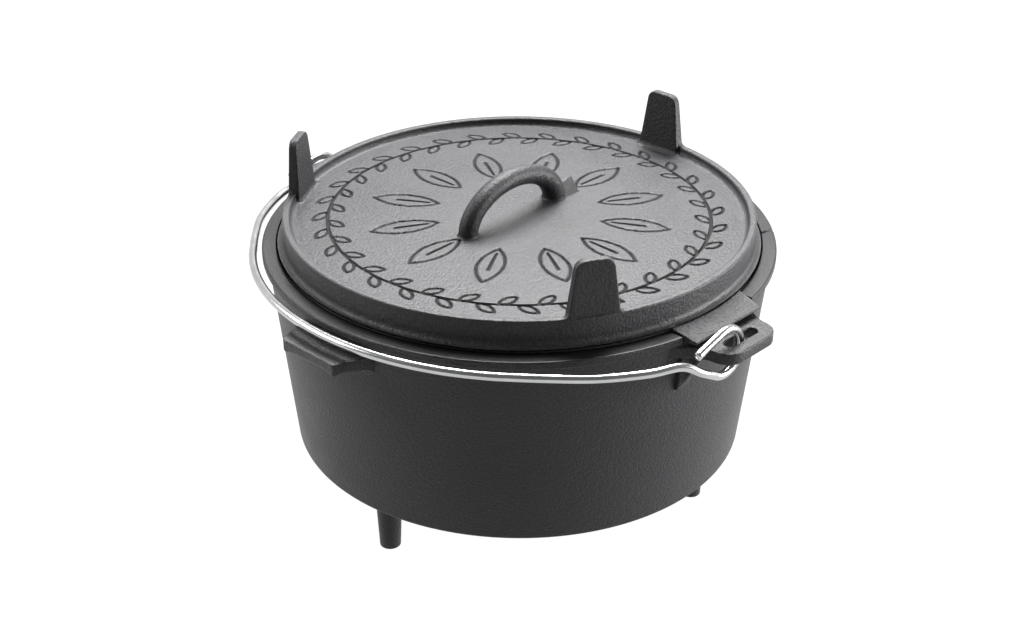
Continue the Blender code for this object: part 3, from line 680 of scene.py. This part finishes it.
def plate_ring(name, inner, outer, spacing, columns):
    """A ring of the plate: its top with the sunk lines, its outer side, its underside and its inner side."""
    radius = np.append(np.arange(inner, outer, spacing), outer)[:, None]
    angle = np.linspace(0, 2 * np.pi, columns, endpoint=False)
    x, y = radius * np.cos(angle), radius * np.sin(angle)
    sunk_and_shaded = sunk_lines(x, y)
    upper = np.stack([x, y, plate_top(radius) - SUNK_DEPTH * sunk_and_shaded], 2)
    under = np.array((outer, (inner + outer) / 2, inner))[:, None]
    lower = np.stack([under * np.cos(angle), under * np.sin(angle), plate_top(under) - PLATE + 0 * angle], 2)
    # The sunk share is also the mark for painted shade in the ornament's lines.
    marks = {"sunk_and_shaded": np.concatenate([sunk_and_shaded, np.zeros((len(under), columns))])}
    return skin(name, np.concatenate([upper, lower]), wrap=inner > 0, marks=marks)


# The plate and ring get a lighter copy of the pot's iron, though legs and handle are one casting with them:
# painted light.
lit_lid_iron = cast_iron("lit_lid_iron", dark=(0.010, 0.010, 0.011), light=(0.060, 0.060, 0.064),
                     roughness=0.41, grain_depth=0.00050, grain_size=0.0010)
lid_plate = plate_ring("lid_plate", 0, PLATE_SPLIT, spacing=0.00072, columns=720)
lid_border = plate_ring("lid_border", PLATE_SPLIT, PAN_EDGE, spacing=0.00055, columns=1440)
add_piece(lid_plate, "lid", lit_lid_iron)
add_piece(lid_border, "lid", lit_lid_iron)

ring_line = evened(rounded_line([
    (PAN_EDGE, PAN - PLATE, 0),
    (PAN_EDGE, PAN, PAN_CORNER),
    (RING_IN, PAN, RING_COVE),
    (RING_IN, RING_TOP, RING_EDGE_IN),
    (RING_OUT, RING_TOP, RING_EDGE_OUT),
    (RING_OUT, FLANGE_TOP, SKIRT_COVE),
    (FLANGE_RADIUS, FLANGE_TOP, FLANGE_EDGE_TOP),
    (FLANGE_RADIUS, SEAT, FLANGE_EDGE_LOW),
    (LOCATOR_OUT, SEAT, SEAT_CORNER_OUT),
    (LOCATOR_OUT, LOCATOR_LOW, LOCATOR_EDGE),
    (LOCATOR_IN, LOCATOR_LOW, LOCATOR_EDGE),
    (LOCATOR_IN, PAN - PLATE, LOCATOR_COVE),
    (PAN_EDGE, PAN - PLATE, 0),
], 9), step=0.0025)[:-1]
lid_ring = lathe(ring_line, np.linspace(0, 2 * np.pi, 480, endpoint=False))
add_piece(skin("lid_ring", lid_ring, wrap=True), "lid", lit_lid_iron)


def lid_height(radius):
    """Height of the plain lid at a radius: the plate, the cove beside the ring, and the ring's flat top."""
    top = ring_line[np.argmax(ring_line[:, 0] > PAN_EDGE):]
    top = top[:np.argmax(top[:, 0] >= RING_OUT - MERGE_DISTANCE) + 1]
    return np.where(radius < PAN_EDGE, plate_top(radius), np.interp(radius, top[:, 0], top[:, 1]))


# Two tabs cast on the skirt, as rough as the sand left them. Each lies in its notch of the rim, over an ear.
# With the notches they keep the loose lid from turning.
TAB_ROOT, TAB_END = 0.1375, 0.1572
TAB_ROOT_HALF, TAB_TIP_HALF = 0.0305, 0.0284
TAB_ROOT_TOP, TAB_TIP_TOP = 0.1720, 0.1679
TAB_ROOT_LOW, TAB_TIP_LOW = 0.1643, 0.1663
TAB_EDGE = 0.0004


def tab_points():
    """Upright sections of a rounded wedge, from inside the skirt to the tip, where they draw in."""
    corner, direction = rounded_frame(26, 6)
    turn = np.linspace(np.pi / 2, 0, 6)[1:]
    straight = np.linspace(TAB_ROOT, TAB_END - TAB_EDGE, 22)
    out = np.concatenate([straight, TAB_END - TAB_EDGE + TAB_EDGE * np.cos(turn)])[:, None]
    inset = np.concatenate([0 * straight, TAB_EDGE * (1 - np.sin(turn))])[:, None]
    share = (out - TAB_ROOT) / (TAB_END - TAB_ROOT)
    wide = TAB_ROOT_HALF + (TAB_TIP_HALF - TAB_ROOT_HALF) * share - inset
    top = TAB_ROOT_TOP + (TAB_TIP_TOP - TAB_ROOT_TOP) * share - inset
    low = TAB_ROOT_LOW + (TAB_TIP_LOW - TAB_ROOT_LOW) * share + inset
    edge = np.minimum(TAB_EDGE, (top - low) / 2)
    y = corner[:, 0] * (wide - edge) + direction[:, 0] * edge
    z = (top + low) / 2 + corner[:, 1] * ((top - low) / 2 - edge) + direction[:, 1] * edge
    return capped(np.stack([out + 0 * y, y, z], 2))


# The tabs' iron has the sand's coarse grain, and a light tone far above the lid's iron that is painted light
# on their tops.
raw_lit_iron = cast_iron("raw_lit_iron", dark=(0.006, 0.006, 0.007), light=(0.130, 0.130, 0.134),
                     roughness=0.40, grain_depth=0.00140, grain_size=0.0012)
for end, degrees in (("right", 0), ("left", 180)):
    add_piece(skin("lid_tab_" + end, turned(tab_points(), degrees)), "lid", raw_lit_iron)


# Three tapered legs, cast on the ring and almost flush with its outside. The lid turned over stands on them
# as a griddle.
LEG_TOP = 0.2193
LEG_FACE, LEG_SET_BACK = 0.1392, 0.0008
LEG_ROOT_HALF, LEG_TOP_HALF = 0.0155, 0.0104
LEG_ROOT_THICK, LEG_TOP_THICK = 0.0075, 0.0048
LEG_CORNER, LEG_EDGE, LEG_FILLET = 0.0050, 0.0010, 0.0028
LEG_BURIED = 0.0020
LEG_FINE_TOP = RING_TOP + 0.0040


def leg_points():
    """Level sections of a rounded plate, each narrower than the one below; near the top they follow its
    corners. Near the lid a fillet moves each point out, but not on the outer face."""
    corner, direction = rounded_frame(9, 7)
    low = PAN - LEG_BURIED
    height = np.concatenate([
        np.linspace(low, LEG_FINE_TOP, 44),
        np.linspace(LEG_FINE_TOP + FINE_MARGIN, LEG_TOP - LEG_CORNER, 14),
        LEG_TOP - LEG_CORNER + LEG_CORNER * np.sin(np.linspace(0, np.pi / 2, 22)[1:])])[:, None]
    share = (height - low) / (LEG_TOP - low)
    edge = LEG_EDGE - fillet(LEG_TOP - height, LEG_EDGE)
    wide = LEG_ROOT_HALF + (LEG_TOP_HALF - LEG_ROOT_HALF) * share - fillet(LEG_TOP - height, LEG_CORNER)
    thick = LEG_ROOT_THICK + (LEG_TOP_THICK - LEG_ROOT_THICK) * share
    face = LEG_FACE - LEG_SET_BACK * share
    x = face - thick / 2 + corner[:, 0] * (thick / 2 - LEG_EDGE) + direction[:, 0] * edge
    y = corner[:, 1] * (wide - LEG_EDGE) + direction[:, 1] * edge
    spread = fillet(height - lid_height(np.hypot(x, y)), LEG_FILLET)
    x = x + np.minimum(direction[:, 0], 0) * spread
    y = y + direction[:, 1] * spread
    return capped(np.stack([x, y, height + 0 * x], 2))


for number, degrees in enumerate((-30, 91, 211), 1):
    add_piece(skin("lid_leg_%d" % number, turned(leg_points(), degrees)), "lid", pot_iron)


# The loop handle, cast on the plate too: a round bar in an arch, a little thicker at its back foot.
# A hook lifts the lid by it. A short ridged stub stands behind that foot.
BAR_RADIUS, BAR_SWELL = 0.0058, 0.0012
BAR_HALF_SPAN, BAR_RISE, BAR_OFFSET = 0.0365, 0.0240, -0.0065
BAR_FILLET, STUB_FILLET = 0.0012, 0.0008
STUB_FOOT_HALF, STUB_TIP_HALF, STUB_EDGE = 0.0052, 0.0015, 0.0006
STUB_FOOT, STUB_TIP, STUB_SADDLE = 0.0469, 0.0448, 0.0412
TIP_RISE, SADDLE_RISE = 0.0091, 0.0076
HANDLE_BURIED = 0.0030

crown = PAN + PAN_CROWN


def tube(path, radius, reference, sides):
    """A round tube on a path: at each point a circle across the path, turned to face the reference direction.
    Gives its points and their outward directions."""
    along = np.gradient(path, axis=0)
    along = along / np.linalg.norm(along, axis=1, keepdims=True)
    first = reference - (reference * along).sum(1, keepdims=True) * along
    first = first / np.linalg.norm(first, axis=1, keepdims=True)
    second = np.cross(along, first)
    angle = np.linspace(0, 2 * np.pi, sides, endpoint=False)[None, :, None]
    out = np.cos(angle) * first[:, None] + np.sin(angle) * second[:, None]
    return path[:, None] + out * np.reshape(radius, (-1, 1, 1)), out


def handle_points():
    """A round bar on half an ellipse above the plate, whose ends go straight on into it. The radius grows
    with the cube of the way to the back foot, and a fillet widens each foot."""
    drop = np.linspace(HANDLE_BURIED, 0, 12)[:-1]
    bend = np.linspace(0, np.pi, 220)
    run = np.concatenate([0 * drop - BAR_HALF_SPAN, -BAR_HALF_SPAN * np.cos(bend), 0 * drop + BAR_HALF_SPAN])
    rise = np.concatenate([-drop, BAR_RISE * np.sin(bend), -drop[::-1]])
    path = np.stack([0 * run, BAR_OFFSET + run, crown + rise], 1)
    radius = BAR_RADIUS + BAR_SWELL * np.clip(run / BAR_HALF_SPAN, 0, 1) ** 3
    bar, out = tube(path, radius, np.tile((1.0, 0, 0), (len(path), 1)), 40)
    above = bar[..., 2:] - plate_top(np.hypot(bar[..., :1], bar[..., 1:2]))
    return capped(bar + out * fillet(above, BAR_FILLET))


def stub_points():
    """Level sections of a ridge that narrows to its tip, and whose back leans in. Its front stays inside the
    bar up to the saddle. Above that it goes back with the square root of the rise."""
    corner, direction = rounded_frame(8, 8)
    rise = np.concatenate([
        np.linspace(-HANDLE_BURIED, TIP_RISE - STUB_EDGE, 26)[:-1],
        TIP_RISE - STUB_EDGE * (1 - np.sin(np.linspace(0, np.pi / 2, 7)))])[:, None]
    draw_in = fillet(TIP_RISE - rise, STUB_EDGE)
    back = STUB_FOOT - (STUB_FOOT - STUB_TIP) * rise / TIP_RISE - draw_in
    bar_foot = BAR_OFFSET + BAR_HALF_SPAN
    past_saddle = np.clip(rise - SADDLE_RISE, 0, None) / (TIP_RISE - SADDLE_RISE)
    front = bar_foot + (STUB_SADDLE - bar_foot) * np.sqrt(past_saddle)
    half_length = np.clip((back - front) / 2, STUB_EDGE, None)
    half_width = STUB_FOOT_HALF - (STUB_FOOT_HALF - STUB_TIP_HALF) * rise / TIP_RISE
    x = corner[:, 0] * (half_width - STUB_EDGE) + direction[:, 0] * (STUB_EDGE - draw_in)
    y = back - half_length + corner[:, 1] * (half_length - STUB_EDGE) + direction[:, 1] * STUB_EDGE
    height = crown + rise + 0 * x
    spread = fillet(height - plate_top(np.hypot(x, y)), STUB_FILLET)
    return capped(np.stack([x + direction[:, 0] * spread, y + direction[:, 1] * spread, height], 2))


add_piece(skin("lid_handle", handle_points()), "lid", pot_iron)
add_piece(skin("lid_handle_stub", stub_points()), "lid", pot_iron)


# The bail: one length of 5 mm plated steel wire, bent cold. Its hooks go through the ears' slots from above,
# and nothing else holds it.
WIRE_RADIUS, WIRE_CHAMFER = 0.0025, 0.0003
HINGE_Y, HINGE_Z = -0.0146, 0.1585
HOOK_RADIUS, HOOK_CLOSED_RADIUS, HOOK_TIP_RADIUS = 0.0146, 0.0126, 0.0256
HOOK_START, HOOK_END = np.radians((106, -117))
SHANK_RUN, SHANK_RISE = 0.0155, np.radians(30)
BOW_GAP = 0.0030
BOW_RADIUS = RIM_RADIUS + BOW_GAP + WIRE_RADIUS
BOW_HALF_ANGLE = np.radians(40)
BOW_RISE, BOW_SLOPE = 0.0017, 0.035
SHOULDER_INSET, SHOULDER_AHEAD = 0.005, 0.011
BOW_BULGE = 0.075
BULGE_PLACES = ((0.2, 0.7), (0.48, 1), (0.75, 0.6))


def smooth_through(points, steps):
    """A Catmull-Rom curve: between two points, the cubic whose ends lean as their neighbours do."""
    ends = np.concatenate([2 * points[:1] - points[1:2], points, 2 * points[-1:] - points[-2:-1]])
    a, b, c, d = (ends[k:len(ends) - 3 + k, None] for k in range(4))
    t = np.linspace(0, 1, steps, endpoint=False)[None, :, None]
    curve = (b + (c - a) * t / 2 + (a - 2.5 * b + 2 * c - 0.5 * d) * t * t
             + (1.5 * (b - c) + 0.5 * (d - a)) * t ** 3)
    return np.concatenate([curve.reshape(-1, 3), points[-1:]])


def bow_place(x, y):
    """A place in the bow's plane, which rises slowly from the hinge line toward the front lug."""
    return np.stack([x, y, HINGE_Z + BOW_RISE - BOW_SLOPE * (y - HINGE_Y)], -1)


def bail_line():
    """The wire's centre line: the hook's straight end, its turn, the shank, a swept bend and half the bow,
    then their mirror. The turn closes in from its first radius to its last, and the bend bulges outward."""
    angle = np.linspace(HOOK_START, HOOK_END, 61)[:, None]
    drawn = np.clip(angle / HOOK_END, 0, 1)
    radius = HOOK_RADIUS + (HOOK_CLOSED_RADIUS - HOOK_RADIUS) * drawn * drawn * (3 - 2 * drawn)
    turn = radius * np.concatenate([0 * angle, np.cos(angle), np.sin(angle)], 1)
    hook = np.array((SLOT_X, HINGE_Y, HINGE_Z)) + turn
    free = np.sqrt(HOOK_TIP_RADIUS ** 2 - HOOK_RADIUS ** 2) * np.linspace(1, 0, 12)[:-1, None]
    tip = hook[0] + free * (0, -np.sin(HOOK_START), np.cos(HOOK_START))
    shank = hook[-1] + SHANK_RUN * np.array((0, -np.cos(SHANK_RISE), np.sin(SHANK_RISE)))
    bow_turn = np.linspace(BOW_HALF_ANGLE - np.pi / 2, -np.pi / 2, 50)
    bow = bow_place(BOW_RADIUS * np.cos(bow_turn), BOW_RADIUS * np.sin(bow_turn))
    shoulder = bow_place(SLOT_X - SHOULDER_INSET, shank[1] - SHOULDER_AHEAD)
    run = bow[0] - shoulder
    bulge = np.array((-run[1], run[0], 0)) * BOW_BULGE
    bend = [shoulder + run * along + bulge * out for along, out in BULGE_PLACES]
    swept = smooth_through(np.array([hook[-1], shank, shoulder, *bend, bow[0]]), 14)
    half = np.concatenate([tip, hook[:-1], swept[:-1], bow])
    return np.concatenate([half, (half * (-1, 1, 1))[-2::-1]])


def wire_points():
    """A tube on the centre line, with a chamfer round each cut end: the last ring moves in, and a smaller one
    takes its place."""
    path = bail_line()
    wire, out = tube(path, np.full(len(path), WIRE_RADIUS), path * (1, 1, 0), 24)
    first_cut, last_cut = wire[:1] - out[:1] * WIRE_CHAMFER, wire[-1:] - out[-1:] * WIRE_CHAMFER
    for end, next_in in ((0, 1), (-1, -2)):
        inward = path[next_in] - path[end]
        wire[end] += inward / np.linalg.norm(inward) * WIRE_CHAMFER
    return capped(np.concatenate([first_cut, wire, last_cut]))


def plated_steel():
    """Bright plated steel, clouded a little by handling, with fine marks from the drawing of the wire."""
    material = bpy.data.materials.new("plated_wire")
    nodes = Nodes(material)
    surface = nodes.tree.nodes["Principled BSDF"]
    place = nodes.add("TexCoord", output="Object")
    smudge = nodes.add("TexNoise", None, {"Vector": place, "Scale": 90, "Detail": 3})
    marks = nodes.add("TexNoise", None, {"Vector": place, "Scale": 1400, "Detail": 2})
    bump = nodes.add("Bump", None, {"Strength": 0.25, "Distance": 0.00004, "Height": marks})
    nodes.feed(surface.inputs["Base Color"], nodes.mixed(smudge, (0.39, 0.40, 0.39), (0.56, 0.57, 0.56)))
    surface.inputs["Metallic"].default_value = 1.0
    nodes.feed(surface.inputs["Roughness"], 0.14 + smudge * 0.14)
    nodes.feed(surface.inputs["Normal"], bump)
    return material


add_piece(skin("bail_wire", wire_points()), "bail", plated_steel())
